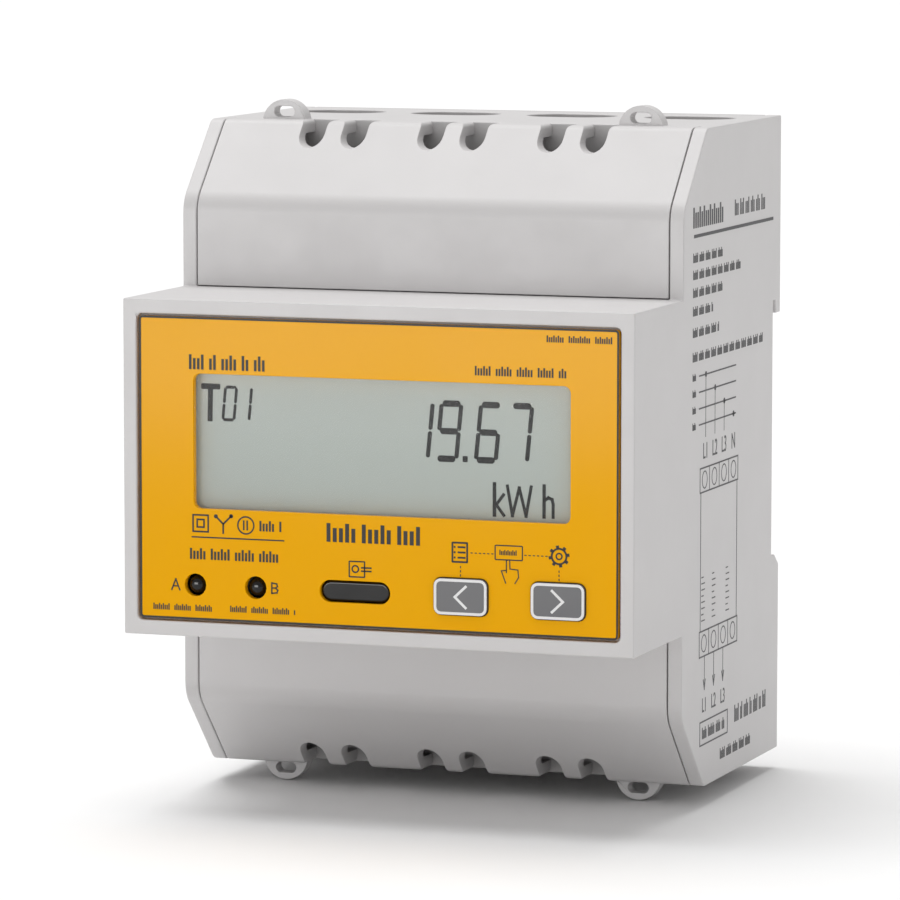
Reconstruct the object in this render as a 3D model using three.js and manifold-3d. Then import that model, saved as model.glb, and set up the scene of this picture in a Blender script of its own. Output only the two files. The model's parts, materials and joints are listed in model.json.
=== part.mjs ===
// A three-phase electricity meter for a 35 mm top-hat rail, four modules wide.
// Millimetres. +X is to the right of a person who faces the meter, the front looks along -Y, +Z is up.
// The origin is the middle of the rail seat: on the rail's centre line, in the plane of its flanges.

import * as THREE from "three";
import { mergeVertices } from "three/addons/utils/BufferGeometryUtils.js";
import Module from "manifold-3d";

const wasm = await Module();
wasm.setup();

// ---- Driving dimensions -------------------------------------------------------------------------

const MODULE = 18; // width of one rail module
const HALF_WIDTH = (4 * MODULE) / 2;
const SIDE_WALL = 2;
const INNER_HALF = HALF_WIDTH - SIDE_WALL;
const WALL = 2;

const BODY_HEIGHT = 90;
const BODY_MID_Z = -1.2; // the body sits a little below the rail's centre line
const TOP_Z = BODY_MID_Z + BODY_HEIGHT / 2;
const BOTTOM_Z = BODY_MID_Z - BODY_HEIGHT / 2;

const NOSE_Y = -65; // front plane of the nose
const NOSE_TOP = BODY_MID_Z + 22.5;
const NOSE_BOTTOM = BODY_MID_Z - 22.9;
const NOSE_WALL_FRONT = 2.5;
const SHOULDER_Y = -43.3; // front plane of the terminal covers
const CHAMFER = 10.7; // 45 degree slope above and below the covers
const CHAMFER_ROUND = 1.8;
const EDGE_ROUND = 0.8;
const COVER_BACK_Y = -28; // seam between a terminal cover and the housing
const REAR_Y = 3.6;
const SEAT_Y = 0; // plane the rail's flanges bear on

const RAIL_LIP_Z = 16; // lower end of the fixed hook
const RAIL_POCKET_Z = 17.9; // the rail's upper edge goes up to here behind the hook
const RAIL_POCKET_Y = 1.3;
const RAIL_LIP_SLOPE = 0.3; // lead-in on the hook's inner face
const RAIL_STEP_Z = -18.3;
const RAIL_STEP_Y = 1.6;
const RAIL_STEP_CHAMFER = 1.5;
const SEAT_PAD_HALF = 15.5; // the base's own pad ends short of the hook and of the clip's jaw
const SEAT_RELIEF = 0.4;

const FIT_GAP = 0.15; // between neighbouring mouldings
const PLAY = 0.3; // between pieces that slide on each other

const PHASE_PITCH = 17.3; // spacing of the cable terminals
const PHASES = ["l1", "l2", "l3", "n"];
const phaseX = (index) => (index - (PHASES.length - 1) / 2) * PHASE_PITCH;
const TERMINAL_INSET = 10.5; // terminal centre below the top face, or above the bottom one
const ENTRY_WIDTH = 13;
const ENTRY_DEPTH = 9;
const ENTRY_Y = -7.5;
const WELL_RADIUS = 3; // screwdriver holes in the terminal deck

const ROWS = [
  { name: "top", side: 1, faceZ: TOP_Z, noseZ: NOSE_TOP },
  { name: "bottom", side: -1, faceZ: BOTTOM_Z, noseZ: NOSE_BOTTOM },
];

// ---- Finishes -----------------------------------------------------------------------------------

const finish = (color, roughness, metalness = 0) =>
  new THREE.MeshStandardMaterial({ color, roughness, metalness });

const SHELL_PLASTIC = finish(0xdedcdb, 0.5);
const BASE_PLASTIC = finish(0xd2d0cf, 0.55);
const YELLOW_FILM = finish(0xefa90f, 0.2);
const CLEAR_WINDOW = finish(0xc9d0cc, 0.08);
const DARK_LENS = finish(0x242220, 0.12);
const KEY_PLASTIC = finish(0x6c6c6d, 0.45);
const LCD_GLASS = finish(0xadb4b0, 0.2);
const WHITE_PLASTIC = finish(0xe9e9e6, 0.5);
const BOARD_GREEN = finish(0x1f5a38, 0.45);
const CHIP_BLACK = finish(0x1c1c1e, 0.5);
const CAN_SLEEVE = finish(0x24324f, 0.35);
const BATTERY_SLEEVE = finish(0xb7bcc4, 0.35);
const COPPER = finish(0xb87548, 0.3, 1);
const ZINC_STEEL = finish(0xc4c6c8, 0.32, 1);
const SPRING_STEEL = finish(0x9a9ca0, 0.28, 1);
const COIL_BLUE = finish(0x2c4f88, 0.45);
const BLOCK_GREEN = finish(0x3d7d4c, 0.5);
const CLIP_GREY = finish(0x4a4c50, 0.5);

// ---- Solids -------------------------------------------------------------------------------------

// A closed geometry as a solid that can be joined and cut.
function solid(geometry) {
  const bare = geometry.clone();
  bare.deleteAttribute("normal");
  bare.deleteAttribute("uv");
  const merged = mergeVertices(bare, 1e-4);
  return new wasm.Manifold(
    new wasm.Mesh({
      numProp: 3,
      vertProperties: merged.attributes.position.array,
      triVerts: new Uint32Array(merged.index.array),
    }),
  );
}

// A solid's faces as a geometry, flat-shaded.
function geometryOf(body) {
  const mesh = body.getMesh();
  const geometry = new THREE.BufferGeometry();
  geometry.setAttribute("position", new THREE.BufferAttribute(mesh.vertProperties, 3));
  geometry.setIndex(new THREE.BufferAttribute(mesh.triVerts, 1));
  const flat = geometry.toNonIndexed();
  flat.computeVertexNormals();
  return flat;
}

const join = (first, ...rest) => rest.reduce((sum, body) => sum.add(body), first);
const cut = (first, ...tools) => tools.reduce((left, tool) => left.subtract(tool), first);

// Extrusions of a flat shape: seen from the front (x, z), from the side (y, z), and from above (x, y).
function fromFront(shape, frontY, backY, segments = 3) {
  const geometry = new THREE.ExtrudeGeometry(shape, {
    depth: backY - frontY,
    bevelEnabled: false,
    curveSegments: segments,
  });
  geometry.rotateX(Math.PI / 2);
  geometry.translate(0, backY, 0);
  return solid(geometry);
}

const SIDE_AXES = new THREE.Matrix4().makeBasis(
  new THREE.Vector3(0, 1, 0),
  new THREE.Vector3(0, 0, 1),
  new THREE.Vector3(1, 0, 0),
);

function fromSide(shape, lowX, highX, segments = 4) {
  const geometry = new THREE.ExtrudeGeometry(shape, {
    depth: highX - lowX,
    bevelEnabled: false,
    curveSegments: segments,
  });
  geometry.applyMatrix4(SIDE_AXES);
  geometry.translate(lowX, 0, 0);
  return solid(geometry);
}

function fromAbove(shape, lowZ, highZ, segments = 3) {
  const geometry = new THREE.ExtrudeGeometry(shape, {
    depth: highZ - lowZ,
    bevelEnabled: false,
    curveSegments: segments,
  });
  geometry.translate(0, 0, lowZ);
  return solid(geometry);
}

// A box between two corners.
function box(low, high) {
  const size = high.map((value, axis) => value - low[axis]);
  const geometry = new THREE.BoxGeometry(...size);
  geometry.translate(...low.map((value, axis) => value + size[axis] / 2));
  return solid(geometry);
}

// A turned solid about the Y axis, from [radius, y] pairs that start and end on the axis.
function turned(profile, segments = 16) {
  const points = profile.map(([radius, y]) => new THREE.Vector2(radius, y));
  return solid(new THREE.LatheGeometry(points, segments));
}

const rodAlongY = (x, z, radius, lowY, highY, segments = 16) =>
  turned([[0, lowY], [radius, lowY], [radius, highY], [0, highY]], segments).translate([x, 0, z]);

// ---- Outlines -----------------------------------------------------------------------------------

// A closed outline through [a, b] or [a, b, round] corners.
function outline(corners) {
  const shape = new THREE.Shape();
  const count = corners.length;
  const at = (index) => new THREE.Vector2(...corners[(index + count) % count].slice(0, 2));
  const towards = (from, to, length) =>
    to.clone().sub(from).setLength(length).add(from);
  corners.forEach(([a, b, round = 0], index) => {
    const corner = new THREE.Vector2(a, b);
    const before = round ? towards(corner, at(index - 1), round) : corner;
    if (index) shape.lineTo(before.x, before.y);
    else shape.moveTo(before.x, before.y);
    if (!round) return;
    const after = towards(corner, at(index + 1), round);
    shape.quadraticCurveTo(a, b, after.x, after.y);
  });
  shape.closePath();
  return shape;
}

// A rectangle about (x, y) with round corners.
function roundedRectangle(x, y, width, height, radius) {
  const right = x + width / 2 - radius;
  const left = x - width / 2 + radius;
  const upper = y + height / 2 - radius;
  const lower = y - height / 2 + radius;
  const quarter = Math.PI / 2;
  const shape = new THREE.Shape();
  shape.absarc(right, upper, radius, 0, quarter);
  shape.absarc(left, upper, radius, quarter, 2 * quarter);
  shape.absarc(left, lower, radius, 2 * quarter, 3 * quarter);
  shape.absarc(right, lower, radius, 3 * quarter, 4 * quarter);
  shape.closePath();
  return shape;
}

const oblong = (x, y, width, height) =>
  roundedRectangle(x, y, width, height, Math.min(width, height) / 2 - 0.001);

const circle = (x, y, radius) =>
  new THREE.Path().absarc(x, y, radius, 0, Math.PI).absarc(x, y, radius, Math.PI, 2 * Math.PI);

// ---- Scene graph --------------------------------------------------------------------------------

const meter = new THREE.Group();

function addPart(name, body, material, place = [0, 0, 0], parent = meter) {
  const mesh = new THREE.Mesh(geometryOf(body), material);
  mesh.name = name;
  mesh.position.set(...place);
  parent.add(mesh);
  return mesh;
}

// ---- Housing ------------------------------------------------------------------------------------

// Rail hook, seat and step, down the back from the top face to the bottom face.
const railRecess = (seat) => [
  [REAR_Y, TOP_Z],
  [REAR_Y, RAIL_LIP_Z],
  [RAIL_POCKET_Y + RAIL_LIP_SLOPE, RAIL_LIP_Z],
  [RAIL_POCKET_Y, RAIL_POCKET_Z],
  ...seat,
  [RAIL_STEP_Y, RAIL_STEP_Z],
  [REAR_Y, RAIL_STEP_Z - RAIL_STEP_CHAMFER],
  [REAR_Y, BOTTOM_Z],
];
const FLAT_SEAT = [
  [SEAT_Y, RAIL_POCKET_Z],
  [SEAT_Y, RAIL_STEP_Z],
];

// The whole meter from the side.
const bodyOutline = () =>
  outline([
    ...railRecess(FLAT_SEAT),
    [SHOULDER_Y + CHAMFER, BOTTOM_Z, EDGE_ROUND],
    [SHOULDER_Y, BOTTOM_Z + CHAMFER, CHAMFER_ROUND],
    [SHOULDER_Y, NOSE_BOTTOM],
    [NOSE_Y, NOSE_BOTTOM],
    [NOSE_Y, NOSE_TOP],
    [SHOULDER_Y, NOSE_TOP],
    [SHOULDER_Y, TOP_Z - CHAMFER, CHAMFER_ROUND],
    [SHOULDER_Y + CHAMFER, TOP_Z, EDGE_ROUND],
  ]);

const SHELL_BACK_Y = 1.2; // the top and bottom walls stop here, in front of the rear base
const RECESS_DEPTH = 1.45; // the fascia's seat in the nose
const RECESS = { x: 0, z: BODY_MID_Z - 0.19, width: 68.2, height: 41.5 };
const LEDGE = 1.2;

// Nose, decks, top and bottom walls between the side walls, as one bent wall open at the back.
const shellOutline = () =>
  outline([
    [SHELL_BACK_Y, TOP_Z],
    [COVER_BACK_Y, TOP_Z],
    [COVER_BACK_Y, NOSE_TOP],
    [NOSE_Y, NOSE_TOP],
    [NOSE_Y, NOSE_BOTTOM],
    [COVER_BACK_Y, NOSE_BOTTOM],
    [COVER_BACK_Y, BOTTOM_Z],
    [SHELL_BACK_Y, BOTTOM_Z],
    [SHELL_BACK_Y, BOTTOM_Z + WALL],
    [COVER_BACK_Y + WALL, BOTTOM_Z + WALL],
    [COVER_BACK_Y + WALL, NOSE_BOTTOM + WALL],
    [NOSE_Y + NOSE_WALL_FRONT, NOSE_BOTTOM + WALL],
    [NOSE_Y + NOSE_WALL_FRONT, NOSE_TOP - WALL],
    [COVER_BACK_Y + WALL, NOSE_TOP - WALL],
    [COVER_BACK_Y + WALL, TOP_Z - WALL],
    [SHELL_BACK_Y, TOP_Z - WALL],
  ]);

const RIB = 1.6; // partitions between the terminal chambers
const RIB_BACK_Y = -2.5;
const TONGUE = { x: 31, width: 1.6, height: 5, fromNose: 2.6, tipY: -25 };
const OVERCUT = 1; // how far a cutting body passes a face

function makeHousing() {
  let housing = join(
    fromSide(shellOutline(), -INNER_HALF, INNER_HALF),
    fromSide(bodyOutline(), -HALF_WIDTH, -INNER_HALF),
    fromSide(bodyOutline(), INNER_HALF, HALF_WIDTH),
  );
  ROWS.forEach(({ side, faceZ, noseZ }) => {
    const ends = [noseZ - side, faceZ - side * OVERCUT].sort((a, b) => a - b);
    for (const x of [-PHASE_PITCH, 0, PHASE_PITCH]) {
      housing = join(
        housing,
        box([x - RIB / 2, COVER_BACK_Y + 1, ends[0]], [x + RIB / 2, RIB_BACK_Y, ends[1]]),
      );
    }
  });
  const recess = fromFront(
    roundedRectangle(RECESS.x, RECESS.z, RECESS.width, RECESS.height, 0.8),
    NOSE_Y - OVERCUT,
    NOSE_Y + RECESS_DEPTH,
  );
  const opening = fromFront(
    roundedRectangle(
      RECESS.x,
      RECESS.z,
      RECESS.width - 2 * LEDGE,
      RECESS.height - 2 * LEDGE,
      1,
    ),
    NOSE_Y,
    NOSE_Y + NOSE_WALL_FRONT + OVERCUT,
  );
  housing = cut(housing, recess, opening);
  ROWS.forEach(({ side, faceZ, noseZ }) => {
    const wall = [faceZ - side * (WALL + OVERCUT), faceZ + side * OVERCUT].sort((a, b) => a - b);
    const tongueZ = noseZ + side * (TONGUE.fromNose + TONGUE.height / 2);
    PHASES.forEach((_, index) => {
      const x = phaseX(index);
      const entry = fromAbove(oblong(x, ENTRY_Y, ENTRY_WIDTH, ENTRY_DEPTH), ...wall);
      const well = rodAlongY(
        x,
        faceZ - side * TERMINAL_INSET,
        WELL_RADIUS,
        COVER_BACK_Y - OVERCUT,
        COVER_BACK_Y + WALL + OVERCUT,
        20,
      );
      housing = cut(housing, entry, well);
    });
    for (const x of [-TONGUE.x, TONGUE.x]) {
      const halfWidth = TONGUE.width / 2 + PLAY;
      const halfHeight = TONGUE.height / 2 + PLAY;
      housing = cut(
        housing,
        box(
          [x - halfWidth, COVER_BACK_Y - OVERCUT, tongueZ - halfHeight],
          [x + halfWidth, COVER_BACK_Y + WALL + OVERCUT, tongueZ + halfHeight],
        ),
      );
    }
  });
  return housing;
}

addPart("housing", makeHousing(), SHELL_PLASTIC);

// ---- Rear base ----------------------------------------------------------------------------------

const BASE_HALF = INNER_HALF - 0.25;
const BASE_WALL = 2;
const CLIP = {
  flangeHalf: 9,
  flangeFrontY: 0.2,
  webHalf: 7,
  webFrontY: 1.4,
  webBackY: 3.4,
  flangeTop: RAIL_STEP_Z - 0.3,
  flangeBottom: -39.5,
  jawTop: -16,
  tabBottom: -49,
};
const CHANNEL_WALL = 1.2;
const CHANNEL_BOTTOM = BOTTOM_Z + WALL + PLAY;
const SPRING = { x: 0, y: 1.8, top: -27.6, bottom: -37.2, radius: 1.3, wire: 0.3, turns: 5 };
const PEG = { half: 1.8, top: SPRING.bottom - 0.1, bottom: -38.8, backY: 3 };
const WINDOW = { half: 2.6, top: SPRING.top + 0.1, bottom: -39 };
const TOOL_SLOT = { half: 3, top: -46.9, bottom: -48.2 }; // for the tip of a screwdriver
const JAW_SLOPE = 1.2;

function makeRearBase() {
  const inner = SEAT_Y - BASE_WALL;
  const relief = SEAT_Y - SEAT_RELIEF;
  const pad = [
    [relief, RAIL_POCKET_Z],
    [relief, SEAT_PAD_HALF],
    [SEAT_Y, SEAT_PAD_HALF],
    [SEAT_Y, -SEAT_PAD_HALF],
    [relief, -SEAT_PAD_HALF],
    [relief, RAIL_STEP_Z],
  ];
  const plate = outline([
    ...railRecess(pad),
    [REAR_Y - BASE_WALL, BOTTOM_Z],
    [REAR_Y - BASE_WALL, RAIL_STEP_Z - BASE_WALL],
    [inner, RAIL_STEP_Z - BASE_WALL],
    [inner, RAIL_POCKET_Z + BASE_WALL],
    [REAR_Y - BASE_WALL, RAIL_POCKET_Z + BASE_WALL],
    [REAR_Y - BASE_WALL, TOP_Z],
  ]);
  const slideHalf = CLIP.flangeHalf + PLAY;
  const channelFrontY = CLIP.flangeFrontY - PLAY;
  const channel = box(
    [-slideHalf - CHANNEL_WALL, channelFrontY - CHANNEL_WALL, CHANNEL_BOTTOM],
    [slideHalf + CHANNEL_WALL, REAR_Y - BASE_WALL + 0.2, RAIL_STEP_Z - 0.2],
  );
  const cavity = box(
    [-slideHalf, channelFrontY, CHANNEL_BOTTOM - 3 * OVERCUT],
    [slideHalf, REAR_Y - BASE_WALL, RAIL_STEP_Z],
  );
  const slot = box(
    [-CLIP.webHalf - PLAY, REAR_Y - BASE_WALL - 0.1, BOTTOM_Z - OVERCUT],
    [CLIP.webHalf + PLAY, REAR_Y + OVERCUT, RAIL_STEP_Z + 0.1],
  );
  const peg = box(
    [-PEG.half, channelFrontY - 0.2, PEG.bottom],
    [PEG.half, PEG.backY, PEG.top],
  );
  return join(
    cut(join(fromSide(plate, -BASE_HALF, BASE_HALF), channel), cavity, slot),
    peg,
  );
}

addPart("rear_base", makeRearBase(), BASE_PLASTIC);

// The clip slides down against its spring; its jaw holds the rail's lower edge from behind.
function makeClip() {
  const flange = box(
    [-CLIP.flangeHalf, CLIP.flangeFrontY, CLIP.flangeBottom],
    [CLIP.flangeHalf, CLIP.webFrontY, CLIP.flangeTop],
  );
  const web = fromSide(
    outline([
      [CLIP.webFrontY - 0.1, CLIP.tabBottom],
      [CLIP.webBackY, CLIP.tabBottom],
      [CLIP.webBackY, CLIP.jawTop - JAW_SLOPE],
      [CLIP.webBackY - JAW_SLOPE, CLIP.jawTop],
      [CLIP.webFrontY, CLIP.jawTop],
      [CLIP.webFrontY, CLIP.flangeTop - 0.1],
      [CLIP.webFrontY - 0.1, CLIP.flangeTop - 0.1],
    ]),
    -CLIP.webHalf,
    CLIP.webHalf,
  );
  const window = box(
    [-WINDOW.half, CLIP.flangeFrontY - OVERCUT, WINDOW.bottom],
    [WINDOW.half, CLIP.webBackY + OVERCUT, WINDOW.top],
  );
  const toolSlot = box(
    [-TOOL_SLOT.half, 0, TOOL_SLOT.bottom],
    [TOOL_SLOT.half, REAR_Y + OVERCUT, TOOL_SLOT.top],
  );
  const lower = box(
    [-CLIP.webHalf - OVERCUT, CLIP.flangeFrontY - OVERCUT, CLIP.tabBottom - OVERCUT],
    [CLIP.webHalf + OVERCUT, CLIP.webFrontY, CLIP.flangeBottom],
  );
  return cut(join(flange, web), window, toolSlot, lower);
}

addPart("din_clip", makeClip(), CLIP_GREY);

// The centre line of the clip's coil spring.
class Coil extends THREE.Curve {
  getPoint(t, target = new THREE.Vector3()) {
    const angle = 2 * Math.PI * SPRING.turns * t;
    const rise = SPRING.top - SPRING.bottom - 2 * SPRING.wire;
    return target.set(
      SPRING.x + SPRING.radius * Math.cos(angle),
      SPRING.y + SPRING.radius * Math.sin(angle),
      SPRING.bottom + SPRING.wire + rise * t,
    );
  }
}

function makeSpring() {
  const wire = new THREE.Shape();
  wire.absarc(0, 0, SPRING.wire, 0, 2 * Math.PI);
  return solid(
    new THREE.ExtrudeGeometry(wire, {
      steps: 9 * SPRING.turns,
      curveSegments: 3,
      extrudePath: new Coil(),
    }),
  );
}

addPart("clip_spring", makeSpring(), SPRING_STEEL);

// ---- Terminal covers ----------------------------------------------------------------------------

const COVER = {
  half: INNER_HALF - FIT_GAP,
  wall: 1.8,
  backY: COVER_BACK_Y - 0.2,
  cheek: 1.2,
  cheekBackY: -30,
};
const NOTCH = { width: 3.6, depth: 3.6, offset: 3.05, flare: 0.7 };
const LUG = { x: 25.9, half: 3.2, rise: 2.75, setback: 2.1, holeWidth: 3, holeHeight: 1.5, holeRise: 1.05 };

// A wire notch from the front: a channel with a round end and flared lips, open upwards at z = 0.
function notchOutline(x) {
  const half = NOTCH.width / 2;
  const { depth, flare } = NOTCH;
  const shape = new THREE.Shape();
  shape.moveTo(x - half - flare, OVERCUT);
  shape.lineTo(x - half - flare, 0);
  shape.quadraticCurveTo(x - half, 0, x - half, -flare);
  shape.lineTo(x - half, half - depth);
  shape.absarc(x, half - depth, half, Math.PI, 2 * Math.PI);
  shape.lineTo(x + half, -flare);
  shape.quadraticCurveTo(x + half, 0, x + half + flare, 0);
  shape.lineTo(x + half + flare, OVERCUT);
  shape.closePath();
  return shape;
}

// A seal lug from the front: the top of a disc on a short root, with its oblong hole.
function lugOutline(x) {
  const radius = (LUG.half ** 2 + LUG.rise ** 2) / (2 * LUG.rise);
  const start = Math.atan2(radius - LUG.rise, LUG.half);
  const shape = new THREE.Shape();
  shape.moveTo(x + LUG.half, -1);
  shape.lineTo(x + LUG.half, 0);
  shape.absarc(x, LUG.rise - radius, radius, start, Math.PI - start);
  shape.lineTo(x - LUG.half, -1);
  shape.closePath();
  shape.holes.push(oblong(x, LUG.holeRise, LUG.holeWidth, LUG.holeHeight));
  return shape;
}

// The cover is modelled for the top row, with the body's top face at z = 0.
function makeCover(noseDrop) {
  const slopeY = SHOULDER_Y + CHAMFER;
  const outer = [
    [SHOULDER_Y, -noseDrop],
    [SHOULDER_Y, -CHAMFER, CHAMFER_ROUND],
    [slopeY, 0, EDGE_ROUND],
    [COVER.backY, 0],
  ];
  const slopeShift = COVER.wall * Math.tan(Math.PI / 8);
  const sheet = outline([
    ...outer,
    [COVER.backY, -COVER.wall],
    [slopeY + slopeShift, -COVER.wall],
    [SHOULDER_Y + COVER.wall, -CHAMFER - slopeShift, 1],
    [SHOULDER_Y + COVER.wall, -noseDrop],
  ]);
  const cheek = outline([
    ...outer,
    [COVER.backY, -COVER.wall],
    [COVER.cheekBackY, -2 * COVER.wall],
    [COVER.cheekBackY, -noseDrop],
  ]);
  let cover = join(
    fromSide(sheet, -COVER.half, COVER.half),
    fromSide(cheek, -COVER.half, COVER.cheek - COVER.half),
    fromSide(cheek, COVER.half - COVER.cheek, COVER.half),
  );
  for (const group of [-PHASE_PITCH, 0, PHASE_PITCH]) {
    for (const x of [group - NOTCH.offset, group + NOTCH.offset]) {
      cover = cut(cover, fromFront(notchOutline(x), SHOULDER_Y - OVERCUT, COVER_BACK_Y, 6));
    }
  }
  const tongueLow = FIT_GAP + TONGUE.fromNose - noseDrop;
  for (const side of [-1, 1]) {
    const lug = fromFront(lugOutline(side * LUG.x), slopeY + LUG.setback, COVER.backY, 8);
    const tongue = box(
      [side * TONGUE.x - TONGUE.width / 2, SHOULDER_Y + COVER.wall / 2, tongueLow],
      [side * TONGUE.x + TONGUE.width / 2, TONGUE.tipY, tongueLow + TONGUE.height],
    );
    cover = join(cover, lug, tongue);
  }
  return cover;
}

ROWS.forEach(({ name, side, faceZ, noseZ }) => {
  const cover = makeCover(Math.abs(faceZ - noseZ) - FIT_GAP);
  // Half a turn about Y carries the cover to the bottom row, where left and right change places.
  const placed = side < 0 ? cover.rotate([0, 180, 0]) : cover;
  addPart(`${name}_terminal_cover`, placed, SHELL_PLASTIC, [0, 0, faceZ]);
});

// ---- Fascia -------------------------------------------------------------------------------------

const PANEL = { frontY: -64.75, backY: -63.65, width: 67.5, height: 40.8, round: 0.5 };
const SCREEN = { x: 0.57, z: 1.13 + BODY_MID_Z + 2.4, width: 53.1, height: 18.2, round: 1 };
const INDICATOR_Z = BODY_MID_Z - 15.9;
const LED_X = { a: -25.8, b: -17.14 };
const LED_HOLE = 1.55;
const PORT = { x: -3, z: BODY_MID_Z - 15.87, width: 10, height: 3 };
const KEY = { width: 7.5, height: 4.9, round: 1, frontY: -65.1, z: BODY_MID_Z - 15.82 };
const KEY_X = { previous: 11.97, next: 25.5 };
const KEY_GAP = 0.08; // the keys fill their windows closely

function makeFrontPanel() {
  const plate = roundedRectangle(RECESS.x, RECESS.z, PANEL.width, PANEL.height, PANEL.round);
  plate.holes.push(roundedRectangle(SCREEN.x, SCREEN.z, SCREEN.width, SCREEN.height, SCREEN.round));
  plate.holes.push(oblong(PORT.x, PORT.z, PORT.width, PORT.height));
  for (const x of Object.values(LED_X)) {
    plate.holes.push(circle(x, INDICATOR_Z, LED_HOLE));
  }
  for (const x of Object.values(KEY_X)) {
    plate.holes.push(
      roundedRectangle(
        x,
        KEY.z,
        KEY.width + 2 * KEY_GAP,
        KEY.height + 2 * KEY_GAP,
        KEY.round + KEY_GAP,
      ),
    );
  }
  return fromFront(plate, PANEL.frontY, PANEL.backY, 4);
}

addPart("front_panel", makeFrontPanel(), YELLOW_FILM);

addPart(
  "display_window",
  fromFront(
    roundedRectangle(SCREEN.x, SCREEN.z, SCREEN.width - 0.2, SCREEN.height - 0.2, SCREEN.round),
    PANEL.frontY + 0.05,
    PANEL.backY,
  ),
  CLEAR_WINDOW,
);

const portOutline = (grow) =>
  oblong(PORT.x, PORT.z, PORT.width + grow, PORT.height + grow);

const PORT_SINK = 0.45; // the lens lies this far behind the fascia's face
const FLANGE = { frontY: PANEL.backY + 0.35, backY: PANEL.backY + 1.15 }; // holds a piece behind the plate
const FLANGE_OVERLAP = 0.15;

addPart(
  "optical_port_window",
  join(
    fromFront(portOutline(-2 * FIT_GAP), PANEL.frontY + PORT_SINK, FLANGE.frontY + FLANGE_OVERLAP),
    fromFront(portOutline(2), FLANGE.frontY, FLANGE.backY),
  ),
  DARK_LENS,
);

// ---- Display module and its board ---------------------------------------------------------------

const BOARD_HOLE = 1.3;
const DISPLAY_BOARD = {
  frontY: -56,
  backY: -54.4,
  width: 65,
  height: 38.2,
  holeX: 30.5,
  holeZ: 17,
};
const LCD = { width: 57, height: 22, frontY: -63.2, backY: -61.4 };
const LCD_FRAME_WALL = 1.4;
const BACKLIGHT_BACK_Y = -57.4;
const TOUCH = 0.1; // between a piece and the board it stands on
const STANDING_Y = DISPLAY_BOARD.frontY - TOUCH;
const SWITCH_TOP_Y = -59.3;
const KEY_TRAVEL = 0.5;

addPart(
  "lcd_glass",
  join(
    fromFront(
      roundedRectangle(SCREEN.x, SCREEN.z, LCD.width, LCD.height, 0.3),
      LCD.frontY + 0.9,
      LCD.backY,
      2,
    ),
    // The front glass is shorter than the rear one, which carries the contacts.
    fromFront(
      roundedRectangle(SCREEN.x, SCREEN.z + 0.75, LCD.width, LCD.height - 1.5, 0.3),
      LCD.frontY,
      LCD.frontY + 0.95,
      2,
    ),
  ),
  LCD_GLASS,
);

function makeLcdFrame() {
  const grown = (by) => roundedRectangle(SCREEN.x, SCREEN.z, LCD.width + by, LCD.height + by, 0.6);
  const tube = grown(2 * LCD_FRAME_WALL + 0.4);
  tube.holes.push(grown(0.4));
  let frame = fromFront(tube, LCD.frontY, STANDING_Y, 3);
  // Two snap feet on each long side hold the frame over the board.
  for (const x of [-20, 20]) {
    for (const side of [-1, 1]) {
      const edge = SCREEN.z + side * (LCD.height / 2 + LCD_FRAME_WALL);
      const ends = [edge, edge + side * 1.2].sort((a, b) => a - b);
      frame = join(frame, box([x - 2, -59, ends[0]], [x + 2, STANDING_Y, ends[1]]));
    }
  }
  return frame;
}

addPart("lcd_frame", makeLcdFrame(), WHITE_PLASTIC);

addPart(
  "lcd_backlight",
  fromFront(
    roundedRectangle(SCREEN.x, SCREEN.z, LCD.width - 1, LCD.height - 1, 1),
    LCD.backY + TOUCH,
    BACKLIGHT_BACK_Y,
    3,
  ),
  WHITE_PLASTIC,
);

function makeBoard({ frontY, backY, width, height, holeX, holeZ }) {
  const board = roundedRectangle(RECESS.x, RECESS.z, width, height, 1);
  for (const x of [-holeX, holeX]) {
    for (const z of [-holeZ, holeZ]) {
      board.holes.push(circle(x, RECESS.z + z, BOARD_HOLE));
    }
  }
  return fromFront(board, frontY, backY, 2);
}

addPart("display_board", makeBoard(DISPLAY_BOARD), BOARD_GREEN);

const LED = { radius: 1.4, tipY: -64.6, collar: 1.9, collarHeight: 1 };

for (const [name, x] of Object.entries(LED_X)) {
  // A round lamp: collar on the board, body, domed tip in the fascia's hole.
  const { radius, tipY, collar, collarHeight } = LED;
  const dome = [3, 2, 1].map((step) => {
    const angle = (step * Math.PI) / 8;
    return [radius * Math.sin(angle), tipY + radius * (1 - Math.cos(angle))];
  });
  const profile = [
    [0, tipY],
    ...dome.reverse(),
    [radius, tipY + radius],
    [radius, STANDING_Y - collarHeight],
    [collar, STANDING_Y - collarHeight],
    [collar, STANDING_Y],
    [0, STANDING_Y],
  ];
  addPart(`pulse_led_${name}`, turned(profile, 20), DARK_LENS, [x, 0, INDICATOR_Z]);
}

const TRANSCEIVER = { half: 4.5, halfHeight: 2.5, frontY: -58, eyeX: 2.4, eyeRadius: 1.3, eyeTipY: -60.2 };

// A sending and a receiving eye side by side on one block.
function makeTransceiver() {
  const { half, halfHeight, frontY, eyeX, eyeRadius, eyeTipY } = TRANSCEIVER;
  const eye = [
    [0, eyeTipY],
    [eyeRadius * 0.7, eyeTipY + 0.3],
    [eyeRadius, eyeTipY + 1.2],
    [eyeRadius, frontY + 0.5],
    [0, frontY + 0.5],
  ];
  return join(
    box([-half, frontY, -halfHeight], [half, STANDING_Y, halfHeight]),
    ...[-eyeX, eyeX].map((x) => turned(eye, 14).translate([x, 0, 0])),
  );
}

addPart("ir_transceiver", makeTransceiver(), CHIP_BLACK, [PORT.x, 0, PORT.z]);

const KEY_COLLAR = 0.9; // the collar behind the plate is this much wider all round
const KEY_STEM = 1.8;
const SWITCH = { half: 3, frontY: -58.3, plungerRadius: 1.7 };

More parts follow.
